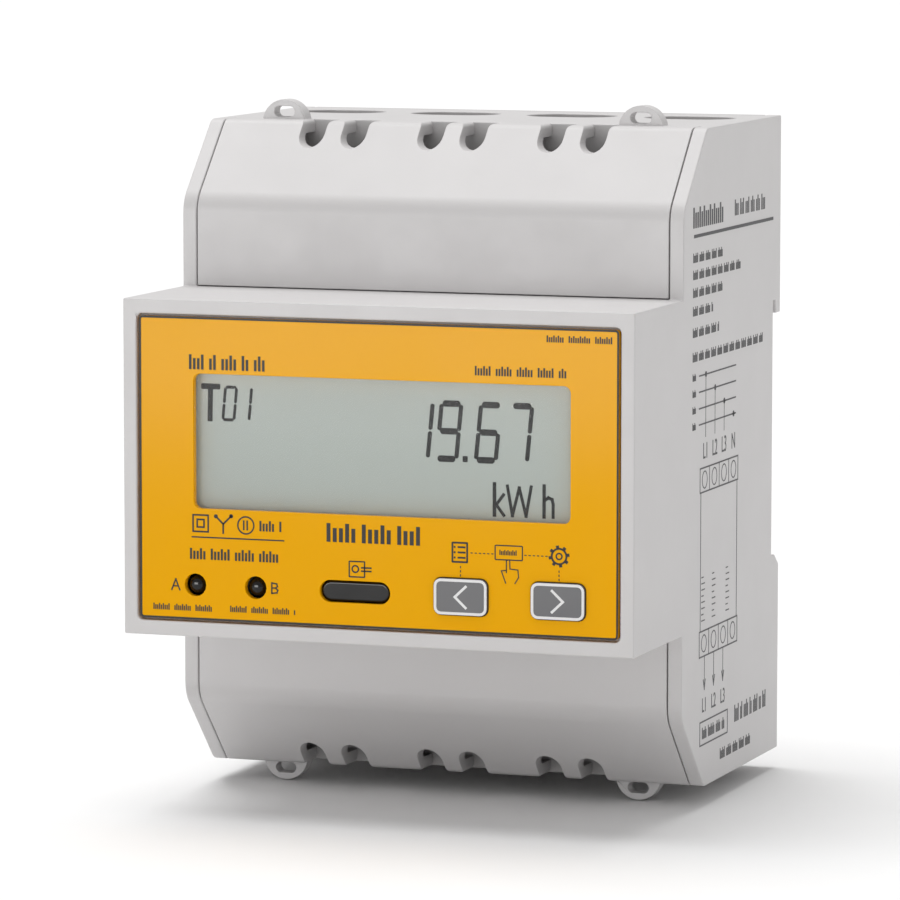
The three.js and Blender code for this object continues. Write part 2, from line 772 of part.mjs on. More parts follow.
function makeKey() {
  const { width, height, round, frontY } = KEY;
  const cap = fromFront(
    roundedRectangle(0, 0, width, height, round),
    frontY,
    FLANGE.frontY + FLANGE_OVERLAP,
  );
  const collar = fromFront(
    roundedRectangle(0, 0, width + 2 * KEY_COLLAR, height + 2 * KEY_COLLAR, round),
    FLANGE.frontY,
    FLANGE.backY,
    2,
  );
  const stemEnd = SWITCH_TOP_Y - KEY_TRAVEL - TOUCH;
  const stem = rodAlongY(0, 0, KEY_STEM, FLANGE.backY - FLANGE_OVERLAP, stemEnd, 12);
  return join(cap, collar, stem);
}

function makeKeySwitch() {
  const { half, frontY, plungerRadius } = SWITCH;
  return join(
    box([-half, frontY, -half], [half, STANDING_Y, half]),
    rodAlongY(0, 0, plungerRadius, SWITCH_TOP_Y, frontY + 0.3, 12),
  );
}

for (const [name, x] of Object.entries(KEY_X)) {
  const place = [x, 0, KEY.z];
  addPart(`key_${name}`, makeKey(), KEY_PLASTIC, place);
  addPart(`key_switch_${name}`, makeKeySwitch(), CHIP_BLACK, place);
}

// ---- Main board ---------------------------------------------------------------------------------

const MAIN_BOARD = { frontY: -40, backY: -38.4, width: 66, height: 40.2, holeX: 30, holeZ: 17 };
const MOUNTED_Y = MAIN_BOARD.backY + TOUCH;

addPart("main_board", makeBoard(MAIN_BOARD), BOARD_GREEN);

// A plug on the main board in a socket on the display board.
const HEADER = { half: 11, halfHeight: 2.5, z: -8, meetY: -48, plugInset: 0.6, lap: 0.5 };

addPart(
  "board_header",
  join(
    box(
      [-HEADER.half, DISPLAY_BOARD.backY + TOUCH, -HEADER.halfHeight],
      [HEADER.half, HEADER.meetY, HEADER.halfHeight],
    ),
    box(
      [HEADER.plugInset - HEADER.half, HEADER.meetY - HEADER.lap, HEADER.plugInset - HEADER.halfHeight],
      [HEADER.half - HEADER.plugInset, MAIN_BOARD.frontY - TOUCH, HEADER.halfHeight - HEADER.plugInset],
    ),
  ),
  CHIP_BLACK,
  [0, 0, HEADER.z],
);

// The measuring chip: a square body over a wider, shallower block that stands for its legs.
const CHIP = { half: 5, height: 1.5, legHalf: 6, legHalfZ: 4.5, legHeight: 0.5 };

addPart(
  "meter_chip",
  join(
    box(
      [-CHIP.half, MAIN_BOARD.frontY - CHIP.height, -CHIP.half],
      [CHIP.half, MAIN_BOARD.frontY - 3 * TOUCH, CHIP.half],
    ),
    box(
      [-CHIP.legHalf, MAIN_BOARD.frontY - CHIP.legHeight, -CHIP.legHalfZ],
      [CHIP.legHalf, MAIN_BOARD.frontY - TOUCH, CHIP.legHalfZ],
    ),
  ),
  CHIP_BLACK,
  [-20, 0, 6],
);

// The supply's small transformer: a core with its winding standing out above and below.
const CORE = { half: 8, halfHeight: 7, depth: 14 };
const WINDING = { half: 6, halfHeight: 9, fromBoard: 2, depth: 9.5 };

addPart(
  "supply_transformer",
  join(
    box([-CORE.half, MOUNTED_Y, -CORE.halfHeight], [CORE.half, MOUNTED_Y + CORE.depth, CORE.halfHeight]),
    box(
      [-WINDING.half, MOUNTED_Y + WINDING.fromBoard, -WINDING.halfHeight],
      [WINDING.half, MOUNTED_Y + WINDING.fromBoard + WINDING.depth, WINDING.halfHeight],
    ),
  ),
  CHIP_BLACK,
  [-22, 0, 4],
);

const CAPACITOR = { radius: 5, length: 16, bead: 0.4, beadAt: 2 };

function makeCapacitor() {
  const { radius, length, bead, beadAt } = CAPACITOR;
  return turned(
    [
      [0, MOUNTED_Y],
      [radius, MOUNTED_Y],
      [radius, MOUNTED_Y + beadAt - bead],
      [radius - bead, MOUNTED_Y + beadAt],
      [radius, MOUNTED_Y + beadAt + bead],
      [radius, MOUNTED_Y + length - bead],
      [radius - bead, MOUNTED_Y + length],
      [0, MOUNTED_Y + length],
    ],
    24,
  );
}

addPart("supply_capacitor", makeCapacitor(), CAN_SLEEVE, [-4, 0, 6]);

// A half-AA cell, lying along X.
const CELL = { radius: 7, half: 12.5, poleRadius: 3, pole: 1 };

function makeCell() {
  const { radius, half, poleRadius, pole } = CELL;
  return turned(
    [
      [0, -half],
      [radius, -half],
      [radius, half - pole],
      [poleRadius, half - pole],
      [poleRadius, half],
      [0, half],
    ],
    24,
  ).rotate([0, 0, -90]);
}

addPart("backup_battery", makeCell(), BATTERY_SLEEVE, [17, MOUNTED_Y + CELL.radius, 5]);

// ---- Mains path: bars, transformers, cages and screws -------------------------------------------

const BAR = { frontY: -12.6, backY: -10.6, tabHalf: 3.9, half: 3, end: 4.2, neck: 14 };
const RING = { outer: 7.7, inner: 4.3, half: 4.5, round: 0.8 };
const CAGE = {
  half: 5.5,
  halfHeight: 5.5,
  frontY: -15.4,
  backY: -1.6,
  frontWall: 2.4,
  backWall: 1.4,
  sideWall: 1.2,
  threadRadius: 2.9,
};
const SCREW = {
  headRadius: 3.4,
  headY: -25.8,
  neckY: -22.6,
  shankRadius: 2.7,
  tipY: -12.8,
  slotWidth: 0.9,
  slotDepth: 1.8,
};

// A flat copper bar with a wide tab at each terminal, drawn from the front about its own middle.
function makeBusbar() {
  const top = TOP_Z - BAR.end - BODY_MID_Z;
  const shoulder = top - BAR.neck;
  const right = [
    [BAR.tabHalf, top, 0.6],
    [BAR.tabHalf, shoulder],
    [BAR.half, shoulder - 1],
    [BAR.half, 1 - shoulder],
    [BAR.tabHalf, -shoulder],
    [BAR.tabHalf, -top, 0.6],
  ];
  const left = right.map(([x, z, round]) => [-x, z, round]).reverse();
  return fromFront(outline([...right, ...left]), BAR.frontY, BAR.backY, 2);
}

// A ring core round its bar, in a moulded case with rounded edges.
function makeCurrentTransformer() {
  const { outer, inner, half, round } = RING;
  const profile = [
    [inner, -half + round],
    [inner + round, -half],
    [outer - round, -half],
    [outer, -half + round],
    [outer, half - round],
    [outer - round, half],
    [inner + round, half],
    [inner, half - round],
    [inner, -half + round],
  ];
  return turned(profile, 28).rotate([90, 0, 0]);
}

function makeCage() {
  const tube = cut(
    box([-CAGE.half, CAGE.frontY, -CAGE.halfHeight], [CAGE.half, CAGE.backY, CAGE.halfHeight]),
    box(
      [CAGE.sideWall - CAGE.half, CAGE.frontY + CAGE.frontWall, -CAGE.halfHeight - OVERCUT],
      [CAGE.half - CAGE.sideWall, CAGE.backY - CAGE.backWall, CAGE.halfHeight + OVERCUT],
    ),
  );
  return cut(
    tube,
    rodAlongY(0, 0, CAGE.threadRadius, CAGE.frontY - OVERCUT, CAGE.frontY + CAGE.frontWall + 0.5, 20),
  );
}

const HEAD_ROUND = 0.12; // shares of the head's and the shank's radius
const TIP_ROUND = 0.3;
const SLOT_REACH = 0.78;

// A cheese-head clamp screw with a cross slot, turned about Y.
function makeScrew(screw, segments) {
  const { headRadius, headY, neckY, shankRadius, tipY, slotWidth, slotDepth } = screw;
  const round = headRadius * HEAD_ROUND;
  const point = shankRadius * TIP_ROUND;
  const body = turned(
    [
      [0, headY],
      [headRadius - round, headY],
      [headRadius, headY + round],
      [headRadius, neckY],
      [shankRadius, neckY],
      [shankRadius, tipY - point],
      [shankRadius - point, tipY],
      [0, tipY],
    ],
    segments,
  );
  const reach = headRadius * SLOT_REACH;
  const half = slotWidth / 2;
  const frontY = headY - OVERCUT;
  const floorY = headY + slotDepth;
  return cut(
    body,
    box([-reach, frontY, -half], [reach, floorY, half]),
    box([-half, frontY, -reach], [half, floorY, reach]),
  );
}

const BAR_MID_Y = (BAR.frontY + BAR.backY) / 2;
PHASES.forEach((phase, index) => {
  const x = phaseX(index);
  addPart(`busbar_${phase}`, makeBusbar(), COPPER, [x, 0, BODY_MID_Z]);
  if (phase !== "n") {
    addPart(`current_transformer_${phase}`, makeCurrentTransformer(), COIL_BLUE, [x, BAR_MID_Y, 0]);
  }
});

ROWS.forEach(({ name, side, faceZ }) => {
  const row = new THREE.Group();
  row.position.z = faceZ - side * TERMINAL_INSET;
  meter.add(row);
  PHASES.forEach((phase, index) => {
    const place = [phaseX(index), 0, 0];
    addPart(`terminal_cage_${name}_${phase}`, makeCage(), ZINC_STEEL, place, row);
    addPart(
      `terminal_screw_${name}_${phase}`,
      makeScrew(SCREW, 20),
      ZINC_STEEL,
      place,
      row,
    );
  });
});

// ---- Small terminals under the bottom cover -----------------------------------------------------

const AUX = {
  half: 5.8,
  frontY: -37.2,
  backY: COVER_BACK_Y - 0.2,
  topZ: NOSE_BOTTOM - 0.3,
  bottomZ: NOSE_BOTTOM - 7.3,
  screwZ: NOSE_BOTTOM - 3.8,
  poleX: NOTCH.offset,
};
const AUX_HOLES = {
  wellRadius: 1.75,
  wellEndY: -33.8,
  wireHalf: 1.6,
  wireFrontY: -34.2,
  wireBackY: -30.8,
  wireDepth: 4.8,
};
const AUX_SCREW = {
  headRadius: 1.45,
  headY: -36.9,
  neckY: -35.7,
  shankRadius: 1,
  tipY: -34.6,
  slotWidth: 0.45,
  slotDepth: 0.7,
};
const AUX_NAMES = ["bus", "pulse", "tariff"];

function makeAuxBlock() {
  const { half, frontY, backY, topZ, bottomZ, screwZ, poleX } = AUX;
  const { wellRadius, wellEndY, wireHalf, wireFrontY, wireBackY, wireDepth } = AUX_HOLES;
  let block = box([-half, frontY, bottomZ], [half, backY, topZ]);
  for (const x of [-poleX, poleX]) {
    const well = rodAlongY(x, screwZ, wellRadius, frontY - OVERCUT, wellEndY, 16);
    const wire = box(
      [x - wireHalf, wireFrontY, bottomZ - OVERCUT],
      [x + wireHalf, wireBackY, bottomZ + wireDepth],
    );
    block = cut(block, well, wire);
  }
  return block;
}

AUX_NAMES.forEach((name, index) => {
  const group = new THREE.Group();
  group.position.x = (index - 1) * PHASE_PITCH;
  meter.add(group);
  addPart(`aux_block_${name}`, makeAuxBlock(), BLOCK_GREEN, [0, 0, 0], group);
  [-AUX.poleX, AUX.poleX].forEach((x, pole) => {
    addPart(
      `aux_screw_${name}_${pole + 1}`,
      makeScrew(AUX_SCREW, 14),
      ZINC_STEEL,
      [x, 0, AUX.screwZ],
      group,
    );
  });
});

export default meter;
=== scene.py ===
# %% [markdown]
# # A rail-mounted electricity meter
# The meter is a stepped case of light grey moulded plastic, four rail modules wide. An amber fascia
# with a liquid-crystal display fills its nose, and two covers close off the terminals above and below.
# The shapes that move or fasten come in as a fixed frame, in metres, with the front along -Y and up
# along +Z. This lesson gives that frame its soft edges, its finishes, its printing and its light.

# %% Load the frame
import json
import math
import bpy
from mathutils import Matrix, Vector


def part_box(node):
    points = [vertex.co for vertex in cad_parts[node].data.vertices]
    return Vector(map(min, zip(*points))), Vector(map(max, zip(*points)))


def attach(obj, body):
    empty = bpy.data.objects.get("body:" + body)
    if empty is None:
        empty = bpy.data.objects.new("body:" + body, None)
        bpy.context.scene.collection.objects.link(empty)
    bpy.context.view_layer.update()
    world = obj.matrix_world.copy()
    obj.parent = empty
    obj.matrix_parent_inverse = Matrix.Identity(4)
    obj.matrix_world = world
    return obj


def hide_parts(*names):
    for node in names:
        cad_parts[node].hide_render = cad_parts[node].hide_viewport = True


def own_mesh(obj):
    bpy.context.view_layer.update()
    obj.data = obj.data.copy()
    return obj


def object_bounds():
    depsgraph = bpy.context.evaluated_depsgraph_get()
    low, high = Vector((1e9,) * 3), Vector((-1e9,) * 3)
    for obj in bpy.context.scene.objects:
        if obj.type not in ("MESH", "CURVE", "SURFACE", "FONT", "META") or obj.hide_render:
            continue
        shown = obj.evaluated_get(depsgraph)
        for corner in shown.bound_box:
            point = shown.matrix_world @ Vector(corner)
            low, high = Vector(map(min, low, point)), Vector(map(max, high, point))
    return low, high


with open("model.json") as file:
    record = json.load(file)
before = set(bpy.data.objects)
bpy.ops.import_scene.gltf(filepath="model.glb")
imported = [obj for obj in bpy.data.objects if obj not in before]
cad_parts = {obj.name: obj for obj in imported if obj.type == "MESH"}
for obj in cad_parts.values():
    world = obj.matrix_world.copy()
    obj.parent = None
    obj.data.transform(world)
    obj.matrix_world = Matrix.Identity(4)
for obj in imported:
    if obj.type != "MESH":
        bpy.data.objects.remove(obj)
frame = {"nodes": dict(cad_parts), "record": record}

MM = 0.001
cad_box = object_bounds()
nodes = frame["nodes"]
owner = {}
for body, members in frame["record"]["behaviour"]["bodies"].items():
    for member in members:
        owner[member] = body

# %% [markdown]
# The loader leaves every node selected, and an operator works on all that is selected. So one helper
# clears the selection, and another picks a single object and makes it the active one.

# %% Selection helpers
def deselect():
    for thing in list(bpy.context.selected_objects):
        thing.select_set(False)


def pick(thing):
    deselect()
    thing.select_set(True)
    bpy.context.view_layer.objects.active = thing
    return thing


def apply_modifiers(thing):
    pick(thing)
    for modifier in list(thing.modifiers):
        bpy.ops.object.modifier_apply(modifier=modifier.name)


deselect()
print(len(bpy.context.selected_objects), "objects selected")

# %% [markdown]
# ## Camera
# The camera stands a little to the meter's left-hand side as it looks out, and a little above it, with
# a long lens, so the upright edges stay almost parallel.

# %% Camera
LENS_MM = 230.2
LOOK_DOWN_DEGREES = 6.254
ROLL_DEGREES = -0.04
LOOK_LEFT_DEGREES = 19.227
camera_data = bpy.data.cameras.new("camera")
camera_data.sensor_width = 36
camera_data.lens = LENS_MM
camera = bpy.data.objects.new("camera", camera_data)
camera.location = (0.25888, -0.777337, 0.085165)
camera.rotation_euler = (math.radians(90 - LOOK_DOWN_DEGREES), math.radians(ROLL_DEGREES),
                         math.radians(LOOK_LEFT_DEGREES))
bpy.context.scene.collection.objects.link(camera)
bpy.context.scene.camera = camera
print("camera distance", round(camera.location.length, 3), "m")

# %% [markdown]
# ## Colour and node helpers
# A colour is given as an sRGB hex value, but a shader works with linear light, so one function
# converts it. Another adds a node with its settings and links: a name with a capital is a socket, and
# any other name is a property of the node.

# %% Colour and node helpers
def linear(hex_code):
    parts = [int(hex_code[i:i + 2], 16) / 255 for i in (1, 3, 5)]
    return [p / 12.92 if p <= 0.04045 else ((p + 0.055) / 1.055) ** 2.4 for p in parts] + [1.0]


def add_node(tree, kind, settings=None, links=None):
    node = tree.nodes.new(kind)
    for name, value in (settings or {}).items():
        if isinstance(name, int) or name[0].isupper():
            node.inputs[name].default_value = value
        else:
            setattr(node, name, value)
    for name, source in (links or {}).items():
        tree.links.new(source, node.inputs[name])
    return node


def new_material(name):
    material = bpy.data.materials.new(name)
    material.use_nodes = True
    material.node_tree.nodes.clear()
    return material, material.node_tree


def per_metre(size_mm):
    return 1 / (size_mm * MM)


print("amber in linear light", [round(c, 3) for c in linear("#fcb500")])

# %% [markdown]
# ## Moulded plastic
# The case, the base, the covers, the keys and the terminal blocks are all injection moulded. A spark-
# eroded mould leaves a very fine grain, the colour drifts a little where the plastic flowed, and
# handling leaves faint smooth patches. One recipe makes them all: a noise at the grain's size for the
# bump, a slow noise for the colour, and another for the roughness.

# %% Moulded plastic
HANDLED_PATCH_MM = 9


def moulded_plastic(name, colour, roughness, grain_mm, grain_depth_mm, drift=0.02, drift_mm=28):
    material, tree = new_material(name)
    place = add_node(tree, "ShaderNodeTexCoord").outputs["Object"]
    grain = add_node(tree, "ShaderNodeTexNoise",
                     {"Scale": per_metre(grain_mm), "Detail": 2.0, "Roughness": 0.6}, {"Vector": place})
    flow = add_node(tree, "ShaderNodeTexNoise",
                    {"Scale": per_metre(drift_mm), "Detail": 3.0, "Distortion": 0.4}, {"Vector": place})
    handled = add_node(tree, "ShaderNodeTexNoise",
                       {"Scale": per_metre(HANDLED_PATCH_MM), "Detail": 4.0, "Roughness": 0.7},
                       {"Vector": place})
    light, dark = linear(colour), linear(colour)
    light[:3] = [min(1, c * (1 + drift)) for c in light[:3]]
    dark[:3] = [c * (1 - drift) for c in dark[:3]]
    tone = add_node(tree, "ShaderNodeMix", {"data_type": "RGBA"}, {0: flow.outputs["Fac"]})
    tone.inputs[6].default_value = dark
    tone.inputs[7].default_value = light
    gloss = add_node(tree, "ShaderNodeMapRange",
                     {"From Min": 0.3, "From Max": 0.7,
                      "To Min": roughness - 0.05, "To Max": roughness + 0.05},
                     {"Value": handled.outputs["Fac"]})
    bump = add_node(tree, "ShaderNodeBump", {"Strength": 0.5, "Distance": grain_depth_mm * MM},
                    {"Height": grain.outputs["Fac"]})
    surface = add_node(tree, "ShaderNodeBsdfPrincipled", {"IOR": 1.5},
                       {"Base Color": tone.outputs[2], "Roughness": gloss.outputs["Result"],
                        "Normal": bump.outputs["Normal"]})
    add_node(tree, "ShaderNodeOutputMaterial", None, {"Surface": surface.outputs[0]})
    return material


# Polycarbonate with a fine eroded grain: satin, a cool light grey. Real grain is near 0.1 mm, and it is
# drawn at 0.45 mm so that it shows.
case_plastic = moulded_plastic("light_grey_polycarbonate", "#d1cfcf", 0.46, 0.45, 0.012)
# The base comes from another mould with a coarser grain, and looks a shade darker.
base_plastic = moulded_plastic("base_polycarbonate", "#c8c6c6", 0.52, 0.6, 0.02)
# ABS key caps, dark grey and satin.
key_plastic = moulded_plastic("dark_grey_abs", "#57575a", 0.4, 0.35, 0.006, drift=0.01)
# Acetal slides without grease, and is waxy and almost smooth.
clip_plastic = moulded_plastic("dark_grey_acetal", "#4a4c50", 0.42, 0.8, 0.01, drift=0.04)
# White ABS of the display's frame. The opal block that spreads the light behind it looks the same.
frame_plastic = moulded_plastic("white_abs", "#e9e9e6", 0.45, 0.5, 0.01)
# Glass-filled polyamide shows cloudy streaks of fibre.
block_plastic = moulded_plastic("green_polyamide", "#3d7d4c", 0.5, 0.5, 0.02, drift=0.08, drift_mm=3)
coil_plastic = moulded_plastic("blue_polyamide", "#2c4f88", 0.48, 0.6, 0.02, drift=0.06, drift_mm=4)
# Black epoxy, for the chip, the small switches, the board plug and the supply transformer: dull, with a
# grain like fine sandpaper.
epoxy = moulded_plastic("black_epoxy", "#1f1f21", 0.55, 0.25, 0.02, drift=0.12, drift_mm=2)
print("moulded plastics made")

# %% [markdown]
# ## Fascia film, ink and lens
# The fascia is a printed polyester film on a plate. Its face is glossy, with a faint orange peel that
# breaks up reflections. The ink on it is a thin screen print, a little duller than the film. The lens
# of the optical port and the lamps are tinted acrylic: almost black, and polished. One more number, the
# shine, sets how much of the light the clear top layer throws back. The film's is low, so that the
# amber stays deep under a bright sky.

# %% Glossy finishes
SMEAR_MM = 14


def polished(name, colour, roughness, peel_mm, peel_depth_mm, cloud=0.02, shine=0.5):
    material, tree = new_material(name)
    place = add_node(tree, "ShaderNodeTexCoord").outputs["Object"]
    peel = add_node(tree, "ShaderNodeTexNoise", {"Scale": per_metre(peel_mm), "Detail": 1.0},
                    {"Vector": place})
    smears = add_node(tree, "ShaderNodeTexNoise",
                      {"Scale": per_metre(SMEAR_MM), "Detail": 5.0, "Roughness": 0.65},
                      {"Vector": place})
    base, deep = linear(colour), linear(colour)
    deep[:3] = [c * (1 - cloud) for c in deep[:3]]
    tone = add_node(tree, "ShaderNodeMix", {"data_type": "RGBA"}, {0: smears.outputs["Fac"]})
    tone.inputs[6].default_value = base
    tone.inputs[7].default_value = deep
    gloss = add_node(tree, "ShaderNodeMapRange",
                     {"From Min": 0.35, "From Max": 0.75,
                      "To Min": roughness, "To Max": roughness + 0.06},
                     {"Value": smears.outputs["Fac"]})
    bump = add_node(tree, "ShaderNodeBump", {"Strength": 0.3, "Distance": peel_depth_mm * MM},
                    {"Height": peel.outputs["Fac"]})
    surface = add_node(tree, "ShaderNodeBsdfPrincipled",
                       {"IOR": 1.5, "Specular IOR Level": shine},
                       {"Base Color": tone.outputs[2], "Roughness": gloss.outputs["Result"],
                        "Normal": bump.outputs["Normal"]})
    add_node(tree, "ShaderNodeOutputMaterial", None, {"Surface": surface.outputs[0]})
    return material


fascia_film = polished("amber_polyester_film", "#fcb500", 0.12, 1.6, 0.002, shine=0.07)
dark_lens = polished("tinted_acrylic", "#131212", 0.14, 2.5, 0.001, cloud=0.1, shine=0.35)
display_glass = polished("liquid_crystal_glass", "#b1bab4", 0.2, 6.0, 0.001, cloud=0.015, shine=0.2)
# The black ink also paints a shade line round the film's edge, in place of the shadow in the gap there.
black_ink_and_edge_shade = polished("black_screen_ink_and_painted_edge_shade", "#1d1a17", 0.42, 0.3, 0.002, cloud=0.15, shine=0.25)
grey_ink = polished("grey_pad_ink", "#4b4b4d", 0.5, 0.3, 0.002, cloud=0.2)
white_ink = polished("white_screen_ink", "#e9e9e9", 0.35, 0.3, 0.002)
crystal_black = polished("dark_crystal_segment", "#0b0c0c", 0.25, 1.0, 0.001, cloud=0.05, shine=0.1)
blue_sleeve = polished("blue_printed_sleeve", "#24324f", 0.3, 1.2, 0.01, cloud=0.1)
grey_sleeve = polished("grey_shrink_sleeve", "#b7bcc4", 0.28, 1.2, 0.012, cloud=0.08)
print("glossy finishes made")

# %% [markdown]
# ## Clear window
# The window over the display is a thin clear sheet. It neither tints nor bends what is behind it, so a
# low alpha lets nearly all the light straight through and leaves only a trace of gloss.

# %% Clear window
WINDOW_ALPHA = 0.02
window_clear, tree = new_material("clear_acrylic_sheet")
place = add_node(tree, "ShaderNodeTexCoord").outputs["Object"]
wipe = add_node(tree, "ShaderNodeTexNoise", {"Scale": per_metre(8), "Detail": 4.0}, {"Vector": place})
gloss = add_node(tree, "ShaderNodeMapRange", {"To Min": 0.02, "To Max": 0.09},
                 {"Value": wipe.outputs["Fac"]})
sheet = add_node(tree, "ShaderNodeBsdfPrincipled",
                 {"Base Color": linear("#f4f6f5"), "IOR": 1.49, "Alpha": WINDOW_ALPHA},
                 {"Roughness": gloss.outputs["Result"]})
add_node(tree, "ShaderNodeOutputMaterial", None, {"Surface": sheet.outputs[0]})
print(window_clear.name)

# %% [markdown]
# ## Metals
# The cages and screws are steel with a zinc plating, which has a pale crystalline bloom. The bars are
# rolled copper, with long fine lines from the rollers and a brown tarnish that comes in clouds. The
# spring is drawn wire. Each is one metal shader, and the noise is stretched along the way it was worked.

# %% Metals
BLOOM_MM = 2.2


def worked_metal(name, colour, tarnish, roughness, line_mm, length_mm, line_depth_mm):
    material, tree = new_material(name)
    place = add_node(tree, "ShaderNodeTexCoord").outputs["Object"]
    drawn = add_node(tree, "ShaderNodeMapping",
                     {"Scale": (per_metre(line_mm), per_metre(line_mm), per_metre(length_mm))},
                     {"Vector": place})
    lines = add_node(tree, "ShaderNodeTexNoise", {"Scale": 1.0, "Detail": 3.0},
                     {"Vector": drawn.outputs[0]})
    bloom = add_node(tree, "ShaderNodeTexNoise", {"Scale": per_metre(BLOOM_MM), "Detail": 5.0},
                     {"Vector": place})
    tone = add_node(tree, "ShaderNodeMix", {"data_type": "RGBA"}, {0: bloom.outputs["Fac"]})
    tone.inputs[6].default_value = linear(colour)
    tone.inputs[7].default_value = linear(tarnish)
    gloss = add_node(tree, "ShaderNodeMapRange",
                     {"From Min": 0.3, "From Max": 0.7,
                      "To Min": roughness - 0.08, "To Max": roughness + 0.1},
                     {"Value": lines.outputs["Fac"]})
    bump = add_node(tree, "ShaderNodeBump", {"Strength": 0.4, "Distance": line_depth_mm * MM},
                    {"Height": lines.outputs["Fac"]})
    surface = add_node(tree, "ShaderNodeBsdfPrincipled", {"Metallic": 1.0},
                       {"Base Color": tone.outputs[2], "Roughness": gloss.outputs["Result"],
                        "Normal": bump.outputs["Normal"]})
    add_node(tree, "ShaderNodeOutputMaterial", None, {"Surface": surface.outputs[0]})
    return material


zinc = worked_metal("zinc_plated_steel", "#cfd2d4", "#b0b3b5", 0.34, 0.25, 0.6, 0.006)
copper = worked_metal("rolled_copper", "#c98a63", "#a3683f", 0.3, 0.15, 9.0, 0.004)
spring_wire = worked_metal("drawn_spring_wire", "#a9acb0", "#8a8d90", 0.28, 0.1, 2.0, 0.002)
print("metals made")

# %% [markdown]
# ## Circuit board
# A circuit board is glass cloth under a green lacquer. The copper tracks under the lacquer show as a
# lighter green, and run in straight lines on a 1.27 mm grid. A brick pattern draws them: its mortar is
# the track, one grid step is a row and six are a brick.

# %% Circuit board
board_green, tree = new_material("green_solder_mask")
place = add_node(tree, "ShaderNodeTexCoord").outputs["Object"]
# The bricks lie in the board's own plane, so the pattern reads x and z.
turned = add_node(tree, "ShaderNodeMapping", {"Rotation": (math.radians(90), 0, 0)}, {"Vector": place})
tracks = add_node(tree, "ShaderNodeTexBrick",
                  {"Scale": 1.0, "Mortar Size": 0.00022, "Mortar Smooth": 0.2, "Brick Width": 0.00762,
                   "Row Height": 0.00127, "Color1": linear("#1b5232"), "Color2": linear("#1e5937"),
                   "Mortar": linear("#2f7a4c")}, {"Vector": turned.outputs[0]})
raised = add_node(tree, "ShaderNodeBump", {"Strength": 0.4, "Distance": 0.03 * MM, "invert": True},
                  {"Height": tracks.outputs["Fac"]})
lacquer = add_node(tree, "ShaderNodeBsdfPrincipled", {"Roughness": 0.28, "IOR": 1.52},
                   {"Base Color": tracks.outputs["Color"], "Normal": raised.outputs["Normal"]})
add_node(tree, "ShaderNodeOutputMaterial", None, {"Surface": lacquer.outputs[0]})
print(board_green.name)

# %% [markdown]
# ## Soft edges for the frame's own shapes
# A moulding never has a knife edge: the mould leaves a small round that catches a thin line of light.
# The frame's shapes are right but their edges are sharp, and their faces are loose triangles. So each
# is copied, its doubles are merged, flat triangles are dissolved into whole faces, and a bevel rounds
# every edge sharper than 30 degrees. Weighted normals keep the big faces flat. A whole face with a hole
# in it has one outline that runs in to the hole and back, and where such a face is drawn as triangles
# again, one of them can lie across the hole. Where that would show, the face is first split into
# outlines without a hollow.

# %% Refine one node
FLAT_DEGREES = 0.6
SHARP_DEGREES = 30
SMOOTH_DEGREES = 38


def split_faces(piece, y):
    """Split the hollow outlines that lie in one upright plane, so that no face covers a hole."""
    bpy.ops.mesh.select_mode(type="FACE")
    bpy.ops.mesh.select_all(action="DESELECT")
    bpy.ops.object.mode_set(mode="OBJECT")
    for face in piece.data.polygons:
        face.select = abs(face.normal.y) > 0.99 and abs(face.center.y - y) < 0.1 * MM
    bpy.ops.object.mode_set(mode="EDIT")
    bpy.ops.mesh.vert_connect_concave()
    bpy.ops.mesh.select_mode(type="VERT")


def refine(node, piece_name, material, round_mm, steps=2, split_y=None):
    piece = nodes[node].copy()
    piece.data = nodes[node].data.copy()
    piece.parent = None
    for tag in list(piece.keys()):
        del piece[tag]
    piece.name = piece_name
    bpy.context.scene.collection.objects.link(piece)
    pick(piece)
    bpy.ops.object.mode_set(mode="EDIT")
    bpy.ops.mesh.select_all(action="SELECT")
    bpy.ops.mesh.remove_doubles(threshold=0.002 * MM)
    bpy.ops.mesh.dissolve_limited(angle_limit=math.radians(FLAT_DEGREES))
    if split_y is not None:
        split_faces(piece, split_y)
    bpy.ops.object.mode_set(mode="OBJECT")
    bevel = piece.modifiers.new("edge_round", "BEVEL")
    bevel.width = round_mm * MM
    bevel.segments = steps
    bevel.limit_method = "ANGLE"
    bevel.angle_limit = math.radians(SHARP_DEGREES)
    bevel.use_clamp_overlap = False
    bevel.miter_outer = "MITER_ARC"
    apply_modifiers(piece)
    bpy.ops.object.shade_smooth_by_angle(angle=math.radians(SMOOTH_DEGREES))
    weighted = piece.modifiers.new("flat_faces", "WEIGHTED_NORMAL")
    weighted.keep_sharp = True
    apply_modifiers(piece)
    piece.data.materials.clear()
    piece.data.materials.append(material)
    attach(piece, owner[node])
    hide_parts(node)
    return piece


print("edges sharper than", SHARP_DEGREES, "degrees are rounded")

# %% [markdown]
# ## Case, base and covers
# The case, the base and the clip are thick mouldings with a round of 0.2 mm on their edges. The covers
# are thin, with small lugs and notches, so theirs is half of that, and the keys and the film on the
# fascia have the finest. The walls in front of the terminals are pierced by the wells of their screws,
# so the case has the faces on the back of those walls split.

# %% Case, base and covers
TERMINAL_WALL_BACK_Y = -26 * MM
case = refine("housing", "case_moulding", case_plastic, 0.2, 3, TERMINAL_WALL_BACK_Y)
refine("rear_base", "base_moulding", base_plastic, 0.2)
for row in ("top", "bottom"):
    refine(row + "_terminal_cover", row + "_cover_moulding", case_plastic, 0.1)
refine("din_clip", "clip_moulding", clip_plastic, 0.2)
refine("front_panel", "fascia_plate", fascia_film, 0.08)
print("case has", len(case.data.polygons), "faces")

